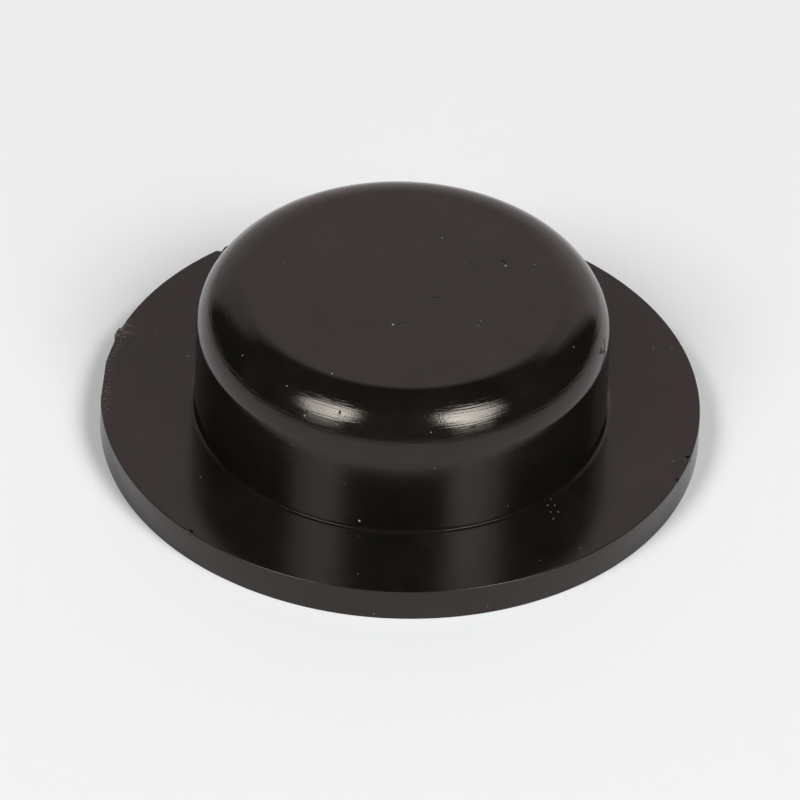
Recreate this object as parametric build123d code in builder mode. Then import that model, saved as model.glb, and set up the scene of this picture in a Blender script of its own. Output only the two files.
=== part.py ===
# Push-in plug for a round hole in a panel, moulded in one piece from black plastic.
# A flat round flange stops against the panel. A hollow boss with a rounded shoulder fills the hole.
# Millimetres. The origin is the centre of the flange's underside, and +Z runs along the boss.

import os
from math import radians, tan

from build123d import *

# flange
flange_diameter = 50.0
flange_thickness = 2.8
rim_edge_radius = 0.06  # the two outer edges are almost sharp

# boss
hole_diameter = 35.0  # round hole that the plug closes
hole_clearance = 0.3  # gap all round between the wall and the hole
boss_height = 12.0  # flat top above the flange's upper face
shoulder_radius = 4.3  # from the straight wall to the flat top
foot_fillet = 0.3  # inside corner between the flange and the wall

# core that leaves the boss hollow and open at the underside
wall_thickness = 2.2
top_thickness = 2.2
core_draft = 1.0  # degrees
mouth_edge_radius = 0.4

# trimmed gate on the rim: each knife cut is (azimuth in degrees, depth inside the circle)
gate_cuts = [(168.0, 0.07), (177.5, 0.14)]
gate_thickness = 1.4  # measured down from the flange's upper face
stub_azimuth = 162.3  # end of the gate that the knife left standing
stub_width = 1.0
stub_proud = 0.22
stub_root = 1.0  # how far the stub's block runs into the flange

flange_radius = flange_diameter / 2
boss_radius = hole_diameter / 2 - hole_clearance
boss_top = flange_thickness + boss_height

core_top = boss_top - top_thickness
core_mouth_radius = boss_radius - wall_thickness
core_top_radius = core_mouth_radius - core_top * tan(radians(core_draft))
core_corner_radius = shoulder_radius - wall_thickness

with BuildPart() as hole_plug:
    # flange and boss, turned from half of their outline
    with BuildSketch(Plane.XZ):
        with BuildLine():
            Polyline(
                (0, 0),
                (flange_radius, 0),
                (flange_radius, flange_thickness),
                (boss_radius, flange_thickness),
                (boss_radius, boss_top),
                (0, boss_top),
                close=True,
            )
        make_face()
    revolve(axis=Axis.Z)

    boss_top_edge = hole_plug.edges().filter_by(GeomType.CIRCLE).group_by(Axis.Z)[-1]
    fillet(boss_top_edge, radius=shoulder_radius)

    rings_on_flange = hole_plug.edges().filter_by(GeomType.CIRCLE).filter_by_position(
        Axis.Z, flange_thickness, flange_thickness
    )
    fillet(rings_on_flange.sort_by(SortBy.RADIUS)[0], radius=foot_fillet)

    rim_edges = hole_plug.edges().filter_by(GeomType.CIRCLE).group_by(SortBy.RADIUS)[-1]
    fillet(rim_edges, radius=rim_edge_radius)

    # hollow under the boss, with its own draft
    with BuildSketch(Plane.XZ):
        with BuildLine():
            Polyline(
                (0, 0),
                (core_mouth_radius, 0),
                (core_top_radius, core_top),
                (0, core_top),
                close=True,
            )
        make_face()
    revolve(axis=Axis.Z, mode=Mode.SUBTRACT)

    core_top_edge = hole_plug.edges(Select.LAST).group_by(Axis.Z)[-1]
    fillet(core_top_edge, radius=core_corner_radius)

    rings_on_underside = hole_plug.edges().filter_by(GeomType.CIRCLE).filter_by_position(Axis.Z, 0, 0)
    fillet(rings_on_underside.sort_by(SortBy.RADIUS)[0], radius=mouth_edge_radius)

    # flats where the gate was cut from the rim
    for azimuth, depth in gate_cuts:
        with BuildSketch(Plane.XY):
            with PolarLocations(flange_radius - depth, 1, azimuth):
                Rectangle(flange_radius, flange_radius, align=(Align.MIN, Align.CENTER))
        extrude(amount=flange_thickness, mode=Mode.SUBTRACT)

    # stub of the gate, level with the flange's upper face
    with BuildSketch(Plane.XY.offset(flange_thickness)):
        with PolarLocations(flange_radius + stub_proud, 1, stub_azimuth):
            Rectangle(stub_proud + stub_root, stub_width, align=(Align.MAX, Align.CENTER))
    extrude(amount=-gate_thickness)

hole_plug.part.label = "hole_plug"

os.makedirs("parts", exist_ok=True)
export_step(hole_plug.part, "parts/hole_plug.step")
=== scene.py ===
# Push-in plug for a round hole in a panel: a disc flange with a hollow boss, one black plastic moulding.
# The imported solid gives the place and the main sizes; this script gives the moulding its surface.
from math import cos, pi, radians, sin, tan

import bpy
from mathutils import Matrix, Vector


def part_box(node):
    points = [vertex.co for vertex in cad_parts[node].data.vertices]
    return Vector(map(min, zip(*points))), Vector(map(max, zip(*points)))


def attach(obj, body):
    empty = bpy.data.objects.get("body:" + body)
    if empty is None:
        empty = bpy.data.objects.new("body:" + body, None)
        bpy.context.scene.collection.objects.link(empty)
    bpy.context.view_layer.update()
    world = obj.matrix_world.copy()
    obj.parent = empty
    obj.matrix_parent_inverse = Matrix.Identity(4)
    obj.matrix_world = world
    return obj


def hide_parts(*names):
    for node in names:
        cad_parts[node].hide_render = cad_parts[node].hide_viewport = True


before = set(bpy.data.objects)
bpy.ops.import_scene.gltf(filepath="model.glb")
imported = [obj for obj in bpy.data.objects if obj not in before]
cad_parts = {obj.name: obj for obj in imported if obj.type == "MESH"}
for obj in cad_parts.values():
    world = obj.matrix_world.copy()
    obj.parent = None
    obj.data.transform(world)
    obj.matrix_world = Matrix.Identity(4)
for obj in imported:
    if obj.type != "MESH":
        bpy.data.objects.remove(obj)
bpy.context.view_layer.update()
low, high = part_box("hole_plug")
mm = 0.001                       # one millimetre in metres
flangeRadius = (high.y - low.y) / 2 / mm
plugHeight = (high.z - low.z) / mm


def hexColour(text):  # an sRGB hex colour as the linear RGBA that a shader takes
    values = [int(text[i:i + 2], 16) / 255 for i in (1, 3, 5)]
    return [v / 12.92 if v <= 0.04045 else ((v + 0.055) / 1.055) ** 2.4 for v in values] + [1.0]


def addNode(tree, kind, inputs=None, **settings):  # each input gets a value, a node or a socket
    node = tree.nodes.new(kind)
    for name, value in settings.items():
        setattr(node, name, value)
    for key, value in (inputs or {}).items():
        socket = node.inputs[key] if isinstance(key, int) else next(
            s for s in node.inputs if s.enabled and key == s.name)
        if isinstance(value, bpy.types.Node):
            value = next(s for s in value.outputs if s.enabled)
        if isinstance(value, bpy.types.NodeSocket):
            tree.links.new(value, socket)
        else:
            socket.default_value = value
    return node


def fromDirection(azimuth, elevation, distance):  # azimuth 0 is -Y, towards the viewer; 90 is +X
    a, e = radians(azimuth), radians(elevation)
    return Vector((sin(a) * cos(e), -cos(a) * cos(e), sin(e))) * distance


viewpoint = {
    "distance": 40.0,        # flange radii
    "elevation": 39.02,      # degrees above the floor
    "aimHeight": 0.1945,     # share of the plug's height
    "aimLeft": 0.04,         # mm left of the axis
    "roll": 2.29,            # degrees, the right side lower
    "lens": 538.7,           # mm on a 36 mm sensor
}


def placeCamera():
    data = bpy.data.cameras.new("camera")
    data.sensor_width = 36.0
    data.lens = viewpoint["lens"]
    data.clip_start, data.clip_end = 0.01, 20.0
    camera = bpy.data.objects.new("camera", data)
    bpy.context.scene.collection.objects.link(camera)
    place = fromDirection(0, viewpoint["elevation"], viewpoint["distance"] * flangeRadius * mm)
    aim = Vector((-viewpoint["aimLeft"] * mm, 0, viewpoint["aimHeight"] * plugHeight * mm))
    turn = (aim - place).to_track_quat("-Z", "Y").to_matrix().to_4x4()
    roll = Matrix.Rotation(radians(viewpoint["roll"]), 4, "Z")
    camera.matrix_world = Matrix.Translation(place) @ turn @ roll
    bpy.context.scene.camera = camera


studio = {
    "floorColour": "#E0DBE3",
    "paintedFarShadeColour": "#C4B8B4",
    "farFloor": (0.064, 0.25),  # m from the plug: between these the floor is painted slowly darker and warmer, a painted shade of the far table that the gloss shows
    "floor": (2.4, 1.2, 1.2),  # m: across, towards the viewer, behind
    "lampDistance": 2.0,        # m
    "lampColour": "#F8FFF6",
    "lamps": [                  # each soft box: place, lean, size in degrees, and brightness
        {"azimuth": -47.0, "elevation": 45.0, "lean": 12, "width": 31.0, "height": 38.0, "brightness": 12.5,
         "towardsRight": 0.38, "upwards": -0.10, "soft": 0.45},
        {"azimuth": 46.5, "elevation": 46.0, "lean": -15, "width": 32.0, "height": 39.0, "brightness": 14.5,
         "towardsRight": -0.36, "upwards": -0.06, "soft": 0.45},
        {"azimuth": -41.0, "elevation": 19.0, "lean": 0, "width": 22.0, "height": 20.0, "brightness": 1.9,
         "towardsRight": 0.0, "upwards": 0.7, "soft": 0.3},
        {"azimuth": 39.0, "elevation": 20.5, "lean": 0, "width": 24.0, "height": 19.0, "brightness": 2.2,
         "towardsRight": 0.0, "upwards": 0.7, "soft": 0.3},
    ],
    "squareness": 2.1,          # 2 is a round soft box; more is squarer
    "paperColour": "#FFF5F5",
    "paper": 0.755,              # brightness of the pale backing behind the plug
    "paperEdges": (-44.0, 43.0, 47.0),  # degrees: its left and right end from straight behind, and its top
    "paperFade": (-4, -44, 0.6),        # it dims between these on the left, to this share
    "paperSoft": 4.0,           # degrees: how far its edges blur to each side
    "paperSlope": -0.03,        # its top edge falls towards the right
    "paperDims": (-0.3, 1.1),   # change of brightness per radian upwards, and brightness at the horizon
    "room": 0.005,              # of the dark room overhead and at the sides
    "viewerSide": 0.05,         # of the room on the viewer's side
    "viewerFrom": (100, 140),   # degrees from straight behind: that side starts and is full
    "horizon": 0.5,             # of the far table on the viewer's side, level with the horizon
}


def layFloor():
    across, near, behind = studio["floor"]
    left, right = -across / 2, across / 2
    corners = [(left, -near, 0), (right, -near, 0), (right, behind, 0), (left, behind, 0)]
    mesh = bpy.data.meshes.new("floor")
    mesh.from_pydata(corners, [], [(0, 1, 2, 3)])
    material = bpy.data.materials.new("matt white table")  # no gloss, only the soft shadow shows
    material.use_nodes = True
    tree = material.node_tree
    paint = tree.nodes["Principled BSDF"]
    place = addNode(tree, "ShaderNodeTexCoord").outputs["Object"]
    away = addNode(tree, "ShaderNodeVectorMath", {0: place}, operation="LENGTH").outputs["Value"]
    fadeStart, fadeEnd = studio["farFloor"]
    farShade = addNode(tree, "ShaderNodeMapRange", {0: away, 1: fadeStart, 2: fadeEnd},
                  interpolation_type="SMOOTHSTEP")
    # painted shade: the floor's colour darkens and warms away from the plug, standing in for less lamp light
    # on the far table
    colour = addNode(tree, "ShaderNodeMix", {0: farShade, "A": hexColour(studio["floorColour"]),
                                             "B": hexColour(studio["paintedFarShadeColour"])}, data_type="RGBA")
    tree.links.new(colour.outputs[2], paint.inputs["Base Color"])  # a colour Mix gives its result at 2
    paint.inputs["Roughness"].default_value = 0.9
    paint.inputs["Specular IOR Level"].default_value = 0.0
    mesh.materials.append(material)
    floor = bpy.data.objects.new("floor", mesh)
    bpy.context.scene.collection.objects.link(floor)


def hangLamps():  # each panel is rounded, with soft edges, and brighter towards one side
    for lamp in studio["lamps"]:
        data = bpy.data.lights.new("soft box", "AREA")
        data.shape = "RECTANGLE"
        data.size = 2 * studio["lampDistance"] * tan(radians(lamp["width"] / 2))
        data.size_y = 2 * studio["lampDistance"] * tan(radians(lamp["height"] / 2))
        area = data.size * data.size_y
        data.energy = lamp["brightness"] * pi * area  # the power that gives this brightness
        data.color = hexColour(studio["lampColour"])[:3]
        data.use_nodes = True
        tree = data.node_tree
        onPanel = addNode(tree, "ShaderNodeNewGeometry").outputs["Parametric"]
        spot = addNode(tree, "ShaderNodeSeparateXYZ", {0: onPanel})
        glow, reach = 1.0, 0.0
        for axis, span, slope in (("X", lamp["width"], "towardsRight"), ("Y", lamp["height"], "upwards")):
            away = addNode(tree, "ShaderNodeMath", {0: spot.outputs[axis], 1: 0.5}, operation="SUBTRACT")
            glow = addNode(tree, "ShaderNodeMath", {0: away, 1: lamp[slope] * span / 10, 2: glow},
                           operation="MULTIPLY_ADD")
            away = addNode(tree, "ShaderNodeMath", {0: away}, operation="ABSOLUTE")
            away = addNode(tree, "ShaderNodeMath", {0: away, 1: 2.0}, operation="MULTIPLY")
            away = addNode(tree, "ShaderNodeMath", {0: away, 1: studio["squareness"]}, operation="POWER")
            reach = addNode(tree, "ShaderNodeMath", {0: away, 1: reach})
        reach = addNode(tree, "ShaderNodeMath", {0: reach, 1: 1 / studio["squareness"]}, operation="POWER")
        edge = addNode(tree, "ShaderNodeMapRange", {0: reach, 1: 1.0, 2: 1.0 - lamp["soft"]},
                       interpolation_type="SMOOTHSTEP")
        glow = addNode(tree, "ShaderNodeMath", {0: glow, 1: edge}, operation="MULTIPLY")
        tree.links.new(glow.outputs[0], tree.nodes["Emission"].inputs["Strength"])
        light = bpy.data.objects.new("soft box", data)
        bpy.context.scene.collection.objects.link(light)
        place = fromDirection(lamp["azimuth"], lamp["elevation"], studio["lampDistance"])
        lean = Matrix.Rotation(radians(lamp["lean"]), 4, "Z")
        turn = place.to_track_quat("Z", "Y").to_matrix().to_4x4() @ lean
        light.matrix_world = Matrix.Translation(place) @ turn
        light.visible_camera = False


def paintRoom():  # what the gloss sees: pale paper behind, dark overhead, a little light on the viewer's side
    world = bpy.data.worlds.new("studio room")
    bpy.context.scene.world = world
    world.use_nodes = True
    tree = world.node_tree
    tree.nodes.clear()
    ray = addNode(tree, "ShaderNodeTexCoord").outputs["Generated"]
    ray = addNode(tree, "ShaderNodeSeparateXYZ", {0: ray}).outputs
    azimuth = addNode(tree, "ShaderNodeMath", {0: ray["X"], 1: ray["Y"]}, operation="ARCTAN2")
    elevation = addNode(tree, "ShaderNodeMath", {0: ray["Z"]}, operation="ARCSINE")
    leftEnd, rightEnd, paperTop = (radians(v) for v in studio["paperEdges"])
    soft = radians(studio["paperSoft"])
    left = addNode(tree, "ShaderNodeMapRange", {0: azimuth, 1: leftEnd - soft, 2: leftEnd + soft},
                   interpolation_type="SMOOTHSTEP")
    right = addNode(tree, "ShaderNodeMapRange", {0: azimuth, 1: rightEnd + soft, 2: rightEnd - soft},
                    interpolation_type="SMOOTHSTEP")
    fadeStart, fadeEnd, fadeTo = studio["paperFade"]
    fade = addNode(tree, "ShaderNodeMapRange", {0: azimuth, 1: radians(fadeStart), 2: radians(fadeEnd),
                                                3: 1.0, 4: fadeTo})
    left = addNode(tree, "ShaderNodeMath", {0: left, 1: fade}, operation="MULTIPLY")
    slope = addNode(tree, "ShaderNodeMath", {0: azimuth, 1: studio["paperSlope"], 2: elevation},
                    operation="MULTIPLY_ADD")
    top = addNode(tree, "ShaderNodeMapRange", {0: slope, 1: paperTop - soft, 2: paperTop + soft,
                                               3: studio["paper"], 4: 0.0}, interpolation_type="SMOOTHSTEP")
    dimming, atHorizon = studio["paperDims"]
    higher = addNode(tree, "ShaderNodeMath", {0: elevation, 1: dimming, 2: atHorizon},
                     operation="MULTIPLY_ADD")
    top = addNode(tree, "ShaderNodeMath", {0: top, 1: higher}, operation="MULTIPLY")
    width = addNode(tree, "ShaderNodeMath", {0: left, 1: right}, operation="MULTIPLY")
    paper = addNode(tree, "ShaderNodeMath", {0: width, 1: top}, operation="MULTIPLY")
    aside = addNode(tree, "ShaderNodeMath", {0: azimuth}, operation="ABSOLUTE")
    sideStart, sideEnd = (radians(v) for v in studio["viewerFrom"])
    near = addNode(tree, "ShaderNodeMapRange", {0: aside, 1: sideStart, 2: sideEnd},
                   interpolation_type="SMOOTHSTEP")
    below = addNode(tree, "ShaderNodeMapRange", {0: elevation, 1: radians(55), 2: radians(80),
                                                 3: studio["viewerSide"], 4: 0.0},
                    interpolation_type="SMOOTHSTEP")
    horizon = addNode(tree, "ShaderNodeMapRange", {0: elevation, 1: radians(1), 2: radians(4),
                                                   3: studio["horizon"], 4: 0.0},
                      interpolation_type="SMOOTHSTEP")
    viewer = addNode(tree, "ShaderNodeMath", {0: below, 1: horizon}, operation="MAXIMUM")
    viewer = addNode(tree, "ShaderNodeMath", {0: near, 1: viewer}, operation="MULTIPLY")
    light = addNode(tree, "ShaderNodeMath", {0: paper, 1: viewer}, operation="MAXIMUM")
    light = addNode(tree, "ShaderNodeMath", {0: light, 1: studio["room"]}, operation="MAXIMUM")
    background = addNode(tree, "ShaderNodeBackground", {"Color": hexColour(studio["paperColour"]),
                                                        "Strength": light})
    addNode(tree, "ShaderNodeOutputWorld", {"Surface": background})


placeCamera()
layFloor()
hangLamps()
paintRoom()
bpy.context.scene.view_settings.view_transform = "Standard"
print("studio set")

plug = {                         # mm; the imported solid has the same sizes
    "Flange radius": flangeRadius,
    "Plug height": plugHeight,
    "Flange thickness": 2.8,
    "Flange dish": 0.09,         # the cooled flange stands this much higher at its rim
    "Boss radius": 17.2,
    "Mouth radius": 15.0,        # the hollow, open at the underside
    "Core top radius": 14.78,
    "Core top": 12.6,
    "Edge band": 0.9,            # the outermost strip of the flange, meshed finely for its wear
    "Shoulder fillet": 4.3,
    "Foot crease": 0.04,         # the foot's corner is two narrow facets with a crease between them
    "Rim fillet": 0.06,
    "Mouth fillet": 0.4,
    "Core fillet": 2.1,
}
turning = {"segments": 640, "fineCuts": 7, "fineReach": radians(2.4)}  # steps round the axis, finer at wear
gateCuts = [(168.0, 0.07), (177.5, 0.14)]  # the knife's cuts at the gate: degrees, mm inside the circle
gateStub = {"angle": 162.3, "width": 1.0, "proud": 0.22, "depth": 1.4}  # what the knife left standing, mm
knocks = [                       # dents in the rim's upper edge: degrees from +X, then mm
    {"angle": 129.0, "length": 0.5, "reach": 0.5, "depth": 0.20},
    {"angle": 227.6, "length": 0.45, "reach": 0.35, "depth": 0.12},
    {"angle": 338.2, "length": 0.5, "reach": 0.4, "depth": 0.07},
    {"angle": 345.6, "length": 0.35, "reach": 0.5, "depth": 0.16},
]


def growBody(material):  # turns the half outline round the axis
    tree = bpy.data.node_groups.new("turned plug", "GeometryNodeTree")
    tree.interface.new_socket("Mesh", in_out="OUTPUT", socket_type="NodeSocketGeometry")
    for name in plug:
        tree.interface.new_socket(name, in_out="INPUT", socket_type="NodeSocketFloat")
    for name in turning:
        tree.interface.new_socket(name, in_out="INPUT", socket_type="NodeSocketFloat")
    size = addNode(tree, "NodeGroupInput").outputs
    rim, thickness, band = size["Flange radius"], size["Flange thickness"], size["Edge band"]
    corners = [(0.0, size["Plug height"], 0.0, 1),  # radius, height, fillet radius and fillet points
               (size["Boss radius"], size["Plug height"], size["Shoulder fillet"], 26)]
    for outward, upward, crease in ((0.0, 0.30, 0.0), (0.12, 0.07, size["Foot crease"]), (0.32, 0.0, 0.0),
                                    (0.38, -0.05, 0.0), (0.48, 0.0, 0.0)):
        across = addNode(tree, "ShaderNodeMath", {0: size["Boss radius"], 1: outward})
        above = addNode(tree, "ShaderNodeMath", {0: thickness, 1: upward})
        corners.append((across.outputs[0], above.outputs[0], crease, 3))
    for step in range(6, 0, -1):
        inset = addNode(tree, "ShaderNodeMath", {0: band, 1: -step / 6, 2: rim}, operation="MULTIPLY_ADD")
        corners.append((inset, thickness, 0.0, 1))
    corners.append((rim, thickness, size["Rim fillet"], 3))
    for step in range(14, 0, -1):
        level = addNode(tree, "ShaderNodeMath", {0: thickness, 1: step / 15}, operation="MULTIPLY")
        corners.append((rim, level, 0.0, 1))
    corners += [(rim, 0.0, size["Rim fillet"], 3),
                (addNode(tree, "ShaderNodeMath", {0: rim, 1: band}, operation="SUBTRACT"), 0.0, 0.0, 1),
                (size["Mouth radius"], 0.0, size["Mouth fillet"], 5),
                (size["Core top radius"], size["Core top"], size["Core fillet"], 12),
                (0.0, size["Core top"], 0.0, 1)]
    points = addNode(tree, "GeometryNodePoints", {"Count": len(corners)})
    outline = addNode(tree, "GeometryNodePointsToCurves", {"Points": points})
    index = addNode(tree, "GeometryNodeInputIndex")
    chosen = []
    for kind in ("VECTOR", "FLOAT", "INT"):  # each corner's place, fillet radius and fillet points
        switch = addNode(tree, "GeometryNodeIndexSwitch", {0: index}, data_type=kind)
        while len(switch.index_switch_items) < len(corners):
            switch.index_switch_items.new()
        for number, (radius, height, fillet, count) in enumerate(corners):
            if kind == "VECTOR":
                value = addNode(tree, "ShaderNodeCombineXYZ", {0: radius, 1: height}).outputs[0]
            else:
                value = fillet if kind == "FLOAT" else count
            if isinstance(value, bpy.types.NodeSocket):
                tree.links.new(value, switch.inputs[number + 1])
            else:
                switch.inputs[number + 1].default_value = value
        chosen.append(switch)
    outline = addNode(tree, "GeometryNodeSetPosition", {"Geometry": outline, "Position": chosen[0]})
    outline = addNode(tree, "GeometryNodeFilletCurve", {"Curve": outline, "Radius": chosen[1],
                                                        "Count": chosen[2], "Limit Radius": True},
                      mode="POLY")
    place = addNode(tree, "GeometryNodeInputPosition")
    worn = 0.0
    for angle in [gateStub["angle"]] + [knock["angle"] for knock in knocks]:
        toPlace = (cos(radians(angle)), sin(radians(angle)), 0)
        near = addNode(tree, "ShaderNodeVectorMath", {0: place, 1: toPlace}, operation="DOT_PRODUCT")
        reach = addNode(tree, "ShaderNodeMath", {0: size["fineReach"]}, operation="COSINE")
        near = addNode(tree, "ShaderNodeMath", {0: near.outputs["Value"], 1: reach}, operation="GREATER_THAN")
        worn = addNode(tree, "ShaderNodeMath", {0: near, 1: worn}, operation="MAXIMUM")
    cuts = addNode(tree, "ShaderNodeMath", {0: worn, 1: size["fineCuts"]}, operation="MULTIPLY")
    circle = addNode(tree, "GeometryNodeCurvePrimitiveCircle",
                     {"Resolution": size["segments"], "Radius": 1.0})
    circle = addNode(tree, "GeometryNodeSubdivideCurve", {"Curve": circle, "Cuts": cuts})
    steps, levels = (addNode(tree, "GeometryNodeAttributeDomainSize", {"Geometry": curve}, component="CURVE")
                     for curve in (circle, outline))  # how many points each has
    around = addNode(tree, "ShaderNodeMath", {0: steps, 1: 1.0})
    grid = addNode(tree, "GeometryNodeMeshGrid", {"Vertices X": around, "Vertices Y": levels})
    step = addNode(tree, "ShaderNodeMath", {0: index, 1: levels}, operation="DIVIDE")
    step = addNode(tree, "ShaderNodeMath", {0: step}, operation="FLOOR")
    step = addNode(tree, "ShaderNodeMath", {0: step, 1: steps}, operation="MODULO")
    level = addNode(tree, "ShaderNodeMath", {0: index, 1: levels}, operation="MODULO")
    toRim = addNode(tree, "GeometryNodeSampleIndex", {"Geometry": circle, 1: place, "Index": step},
                    data_type="FLOAT_VECTOR")
    onOutline = addNode(tree, "GeometryNodeSampleIndex", {"Geometry": outline, 1: place, "Index": level},
                        data_type="FLOAT_VECTOR")
    toRim = addNode(tree, "ShaderNodeVectorMath", {0: toRim}, operation="NORMALIZE")
    onOutline = addNode(tree, "ShaderNodeSeparateXYZ", {0: onOutline}).outputs
    turned = addNode(tree, "ShaderNodeVectorMath", {0: toRim, "Scale": onOutline["X"]}, operation="SCALE")
    lifted = addNode(tree, "ShaderNodeCombineXYZ", {"Z": onOutline["Y"]})
    turned = addNode(tree, "ShaderNodeVectorMath", {0: turned, 1: lifted}, operation="ADD")
    body = addNode(tree, "GeometryNodeSetPosition", {"Geometry": grid, "Position": turned})
    body = addNode(tree, "GeometryNodeMergeByDistance", {"Geometry": body, "Distance": 0.001})
    body = addNode(tree, "GeometryNodeFlipFaces", {"Mesh": body})
    height = addNode(tree, "ShaderNodeSeparateXYZ", {0: place}).outputs["Z"]
    for angle, depth in gateCuts:
        outward = (cos(radians(angle)), sin(radians(angle)), 0)
        along = addNode(tree, "ShaderNodeVectorMath", {0: place, 1: outward}, operation="DOT_PRODUCT")
        beyond = addNode(tree, "ShaderNodeMath", {0: along.outputs["Value"], 1: rim}, operation="SUBTRACT")
        beyond = addNode(tree, "ShaderNodeMath", {0: beyond, 1: depth})
        beyond = addNode(tree, "ShaderNodeMath", {0: beyond, 1: 0.0}, operation="MAXIMUM")
        inward = addNode(tree, "ShaderNodeVectorMath", {0: [-v for v in outward], "Scale": beyond},
                         operation="SCALE")
        body = addNode(tree, "GeometryNodeSetPosition", {"Geometry": body, "Offset": inward})
    angle, width, proud, depth = gateStub.values()
    outward = (cos(radians(angle)), sin(radians(angle)), 0)
    along = addNode(tree, "ShaderNodeVectorMath", {0: place, 1: outward}, operation="DOT_PRODUCT")
    sideways = (-outward[1], outward[0], 0)
    across = addNode(tree, "ShaderNodeVectorMath", {0: place, 1: sideways}, operation="DOT_PRODUCT")
    across = addNode(tree, "ShaderNodeMath", {0: across.outputs["Value"]}, operation="ABSOLUTE")
    across = addNode(tree, "ShaderNodeMath", {0: across, 1: width / 2}, operation="LESS_THAN")
    outer = addNode(tree, "ShaderNodeMath", {0: rim, 1: 0.1}, operation="SUBTRACT")
    outer = addNode(tree, "ShaderNodeMath", {0: along.outputs["Value"], 1: outer}, operation="GREATER_THAN")
    upper = addNode(tree, "ShaderNodeMath", {0: thickness, 1: depth}, operation="SUBTRACT")
    upper = addNode(tree, "ShaderNodeMath", {0: height, 1: upper}, operation="GREATER_THAN")
    onStub = addNode(tree, "ShaderNodeMath", {0: across, 1: outer}, operation="MULTIPLY")
    onStub = addNode(tree, "ShaderNodeMath", {0: onStub, 1: upper}, operation="MULTIPLY")
    body = addNode(tree, "GeometryNodeSetPosition", {"Geometry": body, "Selection": onStub,
                                                     "Offset": [v * proud for v in outward]})
    for knock in knocks:
        angle, length, reach, depth = knock.values()
        a = radians(angle)
        edge = addNode(tree, "ShaderNodeCombineXYZ", {2: thickness})
        outward = (cos(a), sin(a), 0)
        toEdge = addNode(tree, "ShaderNodeVectorMath", {0: outward, "Scale": rim}, operation="SCALE")
        edge = addNode(tree, "ShaderNodeVectorMath", {0: edge, 1: toEdge}, operation="ADD")
        away = addNode(tree, "ShaderNodeVectorMath", {0: place, 1: edge}, operation="SUBTRACT")
        away = addNode(tree, "ShaderNodeVectorRotate", {"Vector": away, "Angle": -a}, rotation_type="Z_AXIS")
        away = addNode(tree, "ShaderNodeVectorMath", {0: away, 1: (reach, length, reach)}, operation="DIVIDE")
        away = addNode(tree, "ShaderNodeVectorMath", {0: away}, operation="LENGTH").outputs["Value"]
        push = addNode(tree, "ShaderNodeMapRange", {0: away, 1: 1.0, 2: 0.0, 3: 0.0, 4: depth},
                       interpolation_type="SMOOTHSTEP")
        inward = (-0.7 * cos(a), -0.7 * sin(a), -0.7)  # and down
        push = addNode(tree, "ShaderNodeVectorMath", {0: inward, "Scale": push.outputs[0]}, operation="SCALE")
        body = addNode(tree, "GeometryNodeSetPosition", {"Geometry": body, "Offset": push})
    out = addNode(tree, "ShaderNodeVectorMath", {0: place, 1: (1, 1, 0)}, operation="MULTIPLY")
    out = addNode(tree, "ShaderNodeVectorMath", {0: out}, operation="LENGTH").outputs["Value"]
    foot = addNode(tree, "ShaderNodeMath", {0: size["Boss radius"], 1: 0.32})
    rise = addNode(tree, "ShaderNodeMapRange", {0: out, 1: foot, 2: rim, 4: size["Flange dish"]})
    upper = addNode(tree, "ShaderNodeMapRange", {0: height, 1: 0.0, 2: thickness})
    rise = addNode(tree, "ShaderNodeMath", {0: rise, 1: upper}, operation="MULTIPLY")
    rise = addNode(tree, "ShaderNodeCombineXYZ", {2: rise})
    body = addNode(tree, "GeometryNodeSetPosition", {"Geometry": body, "Offset": rise})
    body = addNode(tree, "GeometryNodeSetShadeSmooth", {"Geometry": body})
    body = addNode(tree, "GeometryNodeRealizeInstances", {"Geometry": body})
    body = addNode(tree, "GeometryNodeSetMaterial", {"Geometry": body, "Material": material})
    addNode(tree, "NodeGroupOutput", {"Mesh": body})
    holder = bpy.data.objects.new("plugGrown", bpy.data.meshes.new("plugGrown"))
    bpy.context.scene.collection.objects.link(holder)
    modifier = holder.modifiers.new("turned plug", "NODES")
    modifier.node_group = tree
    holder.modifiers.new("flats stay flat", "WEIGHTED_NORMAL").keep_sharp = True
    for socket in tree.interface.items_tree:
        if socket.in_out == "INPUT":
            modifier[socket.identifier] = float({**plug, **turning}[socket.name])
    mesh = bpy.data.meshes.new_from_object(holder.evaluated_get(bpy.context.evaluated_depsgraph_get()))
    bpy.data.objects.remove(holder)
    mesh.transform(Matrix.Scale(mm, 4))
    return mesh


finish = {                       # mm unless said
    "grain": 0.16,               # size of the fine unevenness all over
    "grainHeight": 0.006,
    "streak": 0.11,              # width of the fine rings that the turned mould left on the shoulder
    "streakHeight": 0.020,
    "streakTurns": 5.0,          # the rings change more often round the axis as this rises
    "scuff": 0.14,               # width of the scratches round the cut gate
    "scuffHeight": 0.03,
    "dustGlintSpacing": 1.5,
    "dustGlintSize": 0.09,
    "dustGlintShare": 0.25,           # of the places that carry a faint speck
    "cloudScale": 0.3,           # broad unevenness, per mm
    "streakUp": (11.2, 12.4),    # the rings start and are full at these heights
    "streakOut": (13.0, 14.6),   # and at these distances from the axis
    "scuffLength": 1.1,
    "scuffEnd": 1.7,             # the scratches reach this far from the gate
    "scuffFull": 0.7,
    "chipBand": (23.9, 24.6),    # mm from the axis: the trimmed edge's chips start and are full
    "chipSpread": (173, 19, 9),  # degrees: their middle, how far they reach, how far they are full
    "chipDown": 0.5,             # below the flange's face
    "chipScale": 4.5,            # per mm
    "fleckHeight": 0.03,
    "pitDepth": 0.035,           # a scratch this deep is painted fully dark, a painted shade in the pit
    "wallGloss": (9.6, 8.6),     # below these heights the mould was less polished
}
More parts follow.
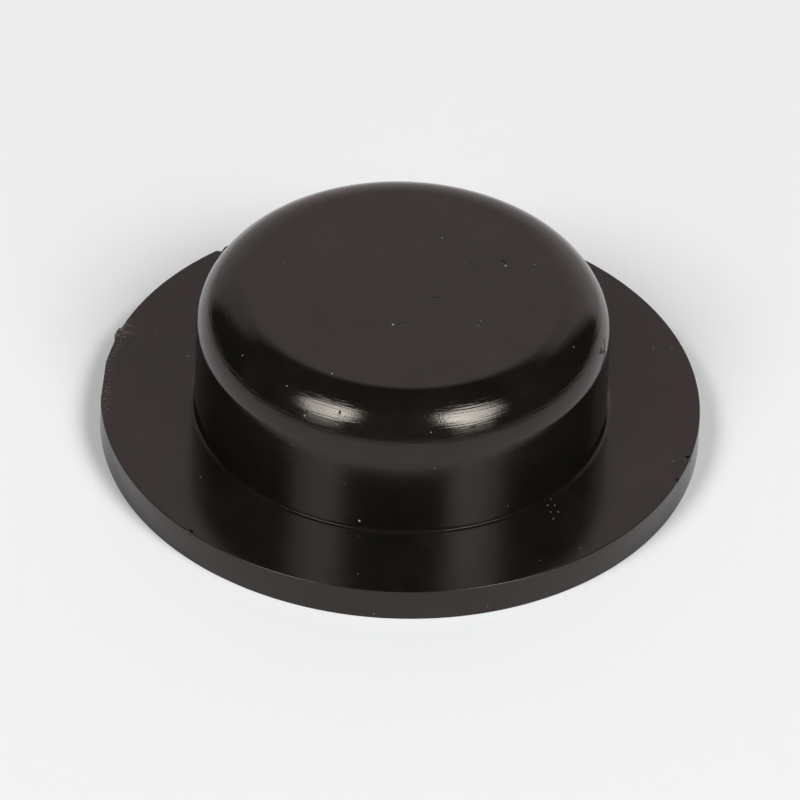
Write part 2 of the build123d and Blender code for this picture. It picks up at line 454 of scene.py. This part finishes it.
# the near-black pit colour is painted shade inside the scratches and pits
# the pale fleck colour is partly dust and partly painted glints
colours = {"dark": "#0E0D0B", "lighter": "#181513", "rubbed": "#5C5451", "dustAndGlint": "#BDB5AE", "pitAndShade": "#040404"}
roughness = {"mould": (0.09, 0.12), "lower": 0.17, "rubbed": 0.35, "dustAndGlint": 0.6, "pitAndShade": 0.5}


def aroundAxis(angle, radius, height):  # degrees from +X, then mm
    return Vector((radius * cos(radians(angle)), radius * sin(radians(angle)), height))


def onTop(angle, out):
    return aroundAxis(angle, out, plug["Plug height"])


def onShoulder(angle, bend):  # bend: degrees round the fillet, 0 at the top and 90 at the wall
    fillet = plug["Shoulder fillet"]
    return aroundAxis(angle, plug["Boss radius"] - fillet * (1 - sin(radians(bend))),
                      plug["Plug height"] - fillet * (1 - cos(radians(bend))))


def onFlange(angle, out):
    slope = plug["Flange dish"] / (plug["Flange radius"] - plug["Boss radius"])
    return aroundAxis(angle, out, plug["Flange thickness"] + slope * (out - plug["Boss radius"]))


flecks = [                       # the pale flecks that stand out, partly dust and partly painted glints: place, then size in mm and strength
    (onTop(260, 5), 0.12, 0.7),
    (onTop(23, 9), 0.11, 0.7),
    (onTop(67, 7.5), 0.09, 0.35),
    (onTop(244, 13), 0.10, 0.5),
    (onShoulder(213, 40), 0.10, 0.35),
    (onShoulder(233, 38), 0.10, 0.25),
    (onShoulder(242, 60), 0.10, 0.4),
    (onShoulder(279, 58), 0.10, 0.2),
    (onShoulder(337, 34), 0.10, 0.3),
    (aroundAxis(260, plug["Boss radius"], 3.6), 0.13, 0.8),
    (onFlange(165, 18.5), 0.13, 0.35),
]
for step in range(6):            # pale flecks painted as the glints of loose burrs that lead away from the foot, by turns to the left and right
    flecks.append((onFlange(315.5 - 0.6 * step + (-1) ** step, 17.6 + 0.4 * step), 0.09, 0.35))
scratches = [                    # from and to, then width and depth in mm; each is dug by the bump and painted darker inside as painted shade
    (onTop(264, 5), onTop(272, 4.5), 0.09, 0.03),
    (onTop(331, 2.5), onTop(337, 3), 0.09, 0.03),
    (onTop(25, 9), onTop(27, 9), 0.15, 0.04),
    (onShoulder(252, 44), onShoulder(252, 46), 0.10, 0.05),
    (onShoulder(291, 58), onShoulder(292, 58), 0.10, 0.05),
    (onShoulder(346, 67), onShoulder(347, 67), 0.22, 0.14),
    (onShoulder(351, 66), onShoulder(348, 76), 0.17, 0.12),
    (onShoulder(345, 67), onShoulder(349, 76), 0.14, 0.10),
    (onShoulder(349, 76), onShoulder(344, 82), 0.13, 0.08),
]
for step in (0, 2):              # the knife's two scratches beside the gate, running inwards
    start = onFlange(gateStub["angle"] + step, 24.6)
    end = onFlange(gateStub["angle"] + 1 + step, 23.4)
    scratches.append((start, end, 0.08, 0.03))


def mouldedPlastic():  # near black with a soft gloss; fine rings on the shoulder fray its glints
    material = bpy.data.materials.new("moulded black plastic")
    material.use_nodes = True
    tree = material.node_tree
    plastic = tree.nodes["Principled BSDF"]
    place = addNode(tree, "ShaderNodeTexCoord").outputs["Object"]
    place = addNode(tree, "ShaderNodeVectorMath", {0: place, "Scale": 1 / mm}, operation="SCALE").outputs[0]
    axes = addNode(tree, "ShaderNodeSeparateXYZ", {0: place}).outputs
    flat = addNode(tree, "ShaderNodeCombineXYZ", {0: axes["X"], 1: axes["Y"]}).outputs[0]
    radius = addNode(tree, "ShaderNodeVectorMath", {0: flat}, operation="LENGTH").outputs["Value"]
    toRim = addNode(tree, "ShaderNodeVectorMath", {0: flat}, operation="NORMALIZE").outputs[0]
    turn = addNode(tree, "ShaderNodeSeparateXYZ", {0: toRim}).outputs

    grain = addNode(tree, "ShaderNodeTexNoise",
                    {"Vector": place, "Scale": 1 / finish["grain"], "Detail": 2.0})
    cloud = addNode(tree, "ShaderNodeTexNoise",
                    {"Vector": place, "Scale": finish["cloudScale"], "Detail": 3.0, "Roughness": 0.6})
    height = addNode(tree, "ShaderNodeMath", {0: grain.outputs["Fac"], 1: finish["grainHeight"]},
                     operation="MULTIPLY")

    rings = addNode(tree, "ShaderNodeCombineXYZ", {
        0: addNode(tree, "ShaderNodeMath", {0: radius, 1: finish["streak"]}, operation="DIVIDE"),
        1: addNode(tree, "ShaderNodeMath", {0: axes["Z"], 1: finish["streak"]}, operation="DIVIDE"),
        2: addNode(tree, "ShaderNodeMath", {0: turn["X"], 1: finish["streakTurns"]}, operation="MULTIPLY")})
    wave = addNode(tree, "ShaderNodeMath", {0: turn["Y"], 1: finish["streakTurns"]}, operation="MULTIPLY")
    rings = addNode(tree, "ShaderNodeTexNoise", {"Vector": rings, "W": wave, "Scale": 1.0, "Detail": 2.0},
                    noise_dimensions="4D")
    bendStart, bendFull = finish["streakUp"]
    bend = addNode(tree, "ShaderNodeMapRange",
                   {0: axes["Z"], 1: bendStart, 2: bendFull, 4: finish["streakHeight"]},
                   interpolation_type="SMOOTHSTEP")
    topEnd, bendReached = finish["streakOut"]
    onBend = addNode(tree, "ShaderNodeMapRange", {0: radius, 1: topEnd, 2: bendReached},
                     interpolation_type="SMOOTHSTEP")
    bend = addNode(tree, "ShaderNodeMath", {0: bend, 1: onBend}, operation="MULTIPLY")
    height = addNode(tree, "ShaderNodeMath", {0: rings.outputs["Fac"], 1: bend, 2: height},
                     operation="MULTIPLY_ADD")

    gate = aroundAxis(gateStub["angle"], plug["Flange radius"], plug["Flange thickness"])
    byGate = addNode(tree, "ShaderNodeVectorMath", {0: place, 1: gate}, operation="DISTANCE").outputs["Value"]
    byGate = addNode(tree, "ShaderNodeMapRange", {0: byGate, 1: finish["scuffEnd"], 2: finish["scuffFull"]},
                     interpolation_type="SMOOTHSTEP")
    scuffs = addNode(tree, "ShaderNodeVectorRotate", {"Vector": place, "Angle": -radians(gateStub["angle"])},
                     rotation_type="Z_AXIS")
    scuffs = addNode(tree, "ShaderNodeVectorMath", {0: scuffs, 1: (finish["scuffLength"], finish["scuff"],
                                                                           finish["scuff"])},
                     operation="DIVIDE")
    scuffs = addNode(tree, "ShaderNodeTexNoise", {"Vector": scuffs, "Scale": 1.0, "Detail": 3.0})
    torn = addNode(tree, "ShaderNodeMapRange", {0: scuffs.outputs["Fac"], 1: 0.50, 2: 0.60},
                   interpolation_type="SMOOTHSTEP")
    rubbed = addNode(tree, "ShaderNodeMath", {0: torn, 1: byGate}, operation="MULTIPLY")
    height = addNode(tree, "ShaderNodeMath", {0: rubbed, 1: finish["scuffHeight"], 2: height},
                     operation="MULTIPLY_ADD")
    bandStart, bandFull = finish["chipBand"]
    edge = addNode(tree, "ShaderNodeMapRange", {0: radius, 1: bandStart, 2: bandFull},
                   interpolation_type="SMOOTHSTEP")
    middle, farEnd, nearEnd = finish["chipSpread"]
    toTrim = addNode(tree, "ShaderNodeVectorMath", {0: toRim, 1: aroundAxis(middle, 1, 0)},
                     operation="DOT_PRODUCT")
    trimmed = addNode(tree, "ShaderNodeMapRange",
                      {0: toTrim.outputs["Value"], 1: cos(radians(farEnd)), 2: cos(radians(nearEnd))},
                      interpolation_type="SMOOTHSTEP")
    edge = addNode(tree, "ShaderNodeMath", {0: edge, 1: trimmed}, operation="MULTIPLY")
    thickness = plug["Flange thickness"]
    upper = addNode(tree, "ShaderNodeMapRange",
                    {0: axes["Z"], 1: thickness - finish["chipDown"], 2: thickness},
                    interpolation_type="SMOOTHSTEP")
    edge = addNode(tree, "ShaderNodeMath", {0: edge, 1: upper}, operation="MULTIPLY")
    chips = addNode(tree, "ShaderNodeTexNoise",
                    {"Vector": place, "Scale": finish["chipScale"], "Detail": 3.0})
    chips = addNode(tree, "ShaderNodeMapRange", {0: chips.outputs["Fac"], 1: 0.52, 2: 0.66, 4: 0.6},
                    interpolation_type="SMOOTHSTEP")
    edge = addNode(tree, "ShaderNodeMath", {0: edge, 1: chips}, operation="MULTIPLY")
    height = addNode(tree, "ShaderNodeMath", {0: edge, 1: finish["scuffHeight"], 2: height},
                     operation="MULTIPLY_ADD")
    rubbed = addNode(tree, "ShaderNodeMath", {0: rubbed, 1: edge}, operation="MAXIMUM")

    # pale specks spread at random: partly dust, partly painted glints, in one pale colour with a small raised
    # bump
    cells = addNode(tree, "ShaderNodeVectorMath", {0: place, "Scale": 1 / finish["dustGlintSpacing"]},
                    operation="SCALE")
    cells = addNode(tree, "ShaderNodeTexVoronoi", {"Vector": cells, "Scale": 1.0})
    dustGlintCells = addNode(tree, "ShaderNodeSeparateColor", {0: cells.outputs["Color"]}).outputs[0]
    dustGlintCells = addNode(tree, "ShaderNodeMath", {0: dustGlintCells, 1: finish["dustGlintShare"]}, operation="LESS_THAN")
    paleDustAndGlints = addNode(tree, "ShaderNodeMapRange", {0: cells.outputs["Distance"],
                                                1: finish["dustGlintSize"] / finish["dustGlintSpacing"],
                                                2: 0.3 * finish["dustGlintSize"] / finish["dustGlintSpacing"], 4: 0.28},
                   interpolation_type="SMOOTHSTEP")
    paleDustAndGlints = addNode(tree, "ShaderNodeMath", {0: paleDustAndGlints, 1: dustGlintCells}, operation="MULTIPLY")
    for spot, size, strength in flecks:
        away = addNode(tree, "ShaderNodeVectorMath", {0: place, 1: spot}, operation="DISTANCE")
        cover = addNode(tree, "ShaderNodeMapRange",
                        {0: away.outputs["Value"], 1: size, 2: 0.3 * size, 4: strength},
                        interpolation_type="SMOOTHSTEP")
        paleDustAndGlints = addNode(tree, "ShaderNodeMath", {0: cover, 1: paleDustAndGlints}, operation="MAXIMUM")
    height = addNode(tree, "ShaderNodeMath", {0: paleDustAndGlints, 1: finish["fleckHeight"], 2: height},
                     operation="MULTIPLY_ADD")
    pitAndShade = 0.0
    for start, end, width, depth in scratches:
        length = (end - start).length
        toPlace = addNode(tree, "ShaderNodeVectorMath", {0: place, 1: start}, operation="SUBTRACT")
        share = addNode(tree, "ShaderNodeVectorMath", {0: toPlace, 1: (end - start) / length ** 2},
                        operation="DOT_PRODUCT").outputs["Value"]
        share = addNode(tree, "ShaderNodeMath", {0: share, 1: 0.0}, use_clamp=True)
        nearest = addNode(tree, "ShaderNodeVectorMath", {0: end - start, "Scale": share.outputs[0]},
                          operation="SCALE")
        away = addNode(tree, "ShaderNodeVectorMath", {0: toPlace, 1: nearest}, operation="DISTANCE")
        deep = addNode(tree, "ShaderNodeMapRange",
                       {0: away.outputs["Value"], 1: width, 2: 0.3 * width, 4: depth},
                       interpolation_type="SMOOTHSTEP")
        pitAndShade = addNode(tree, "ShaderNodeMath", {0: deep, 1: pitAndShade}, operation="MAXIMUM")
    height = addNode(tree, "ShaderNodeMath", {0: height, 1: pitAndShade}, operation="SUBTRACT")
    # painted shade: the deeper a scratch, the darker its colour is painted
    pitAndShade = addNode(tree, "ShaderNodeMapRange", {0: pitAndShade, 2: finish["pitDepth"]})

    shade = addNode(tree, "ShaderNodeMath", {0: grain.outputs["Fac"], 1: cloud.outputs["Fac"]},
                    operation="MULTIPLY")
    shade = addNode(tree, "ShaderNodeMapRange", {0: shade, 1: 0.12, 2: 0.42})
    colour = addNode(tree, "ShaderNodeMix", {0: shade, "A": hexColour(colours["dark"]),
                                             "B": hexColour(colours["lighter"])}, data_type="RGBA")
    for cover, tint in ((rubbed, "rubbed"), (paleDustAndGlints, "dustAndGlint"), (pitAndShade, "pitAndShade")):
        colour = addNode(tree, "ShaderNodeMix", {0: cover, "A": colour, "B": hexColour(colours[tint])},
                         data_type="RGBA")
    bump = addNode(tree, "ShaderNodeBump", {"Height": height, "Distance": mm, "Strength": 1.0})
    glossy, duller = roughness["mould"]
    rough = addNode(tree, "ShaderNodeMapRange", {0: cloud.outputs["Fac"], 1: 0.3, 2: 0.7,
                                                 3: glossy, 4: duller})
    wallTop, wallFull = finish["wallGloss"]
    lower = addNode(tree, "ShaderNodeMapRange", {0: axes["Z"], 1: wallTop, 2: wallFull},
                    interpolation_type="SMOOTHSTEP")
    for cover, name in ((lower, "lower"), (rubbed, "rubbed"), (paleDustAndGlints, "dustAndGlint"), (pitAndShade, "pitAndShade")):
        rough = addNode(tree, "ShaderNodeMix", {0: cover, "A": rough, "B": roughness[name]},
                        data_type="FLOAT")
    tree.links.new(colour.outputs[2], plastic.inputs["Base Color"])  # a colour Mix gives its result at 2
    tree.links.new(rough.outputs[0], plastic.inputs["Roughness"])
    tree.links.new(bump.outputs[0], plastic.inputs["Normal"])
    plastic.inputs["IOR"].default_value = 1.48
    plastic.inputs["Specular Tint"].default_value = hexColour("#FFEEEB")
    return material


mesh = growBody(mouldedPlastic())
print("body grown:", len(mesh.vertices), "points", len(mesh.polygons), "faces")
mesh.name = "plugBody"
body = bpy.data.objects.new("plugBody", mesh)
bpy.context.scene.collection.objects.link(body)
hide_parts("hole_plug")
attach(body, "root")
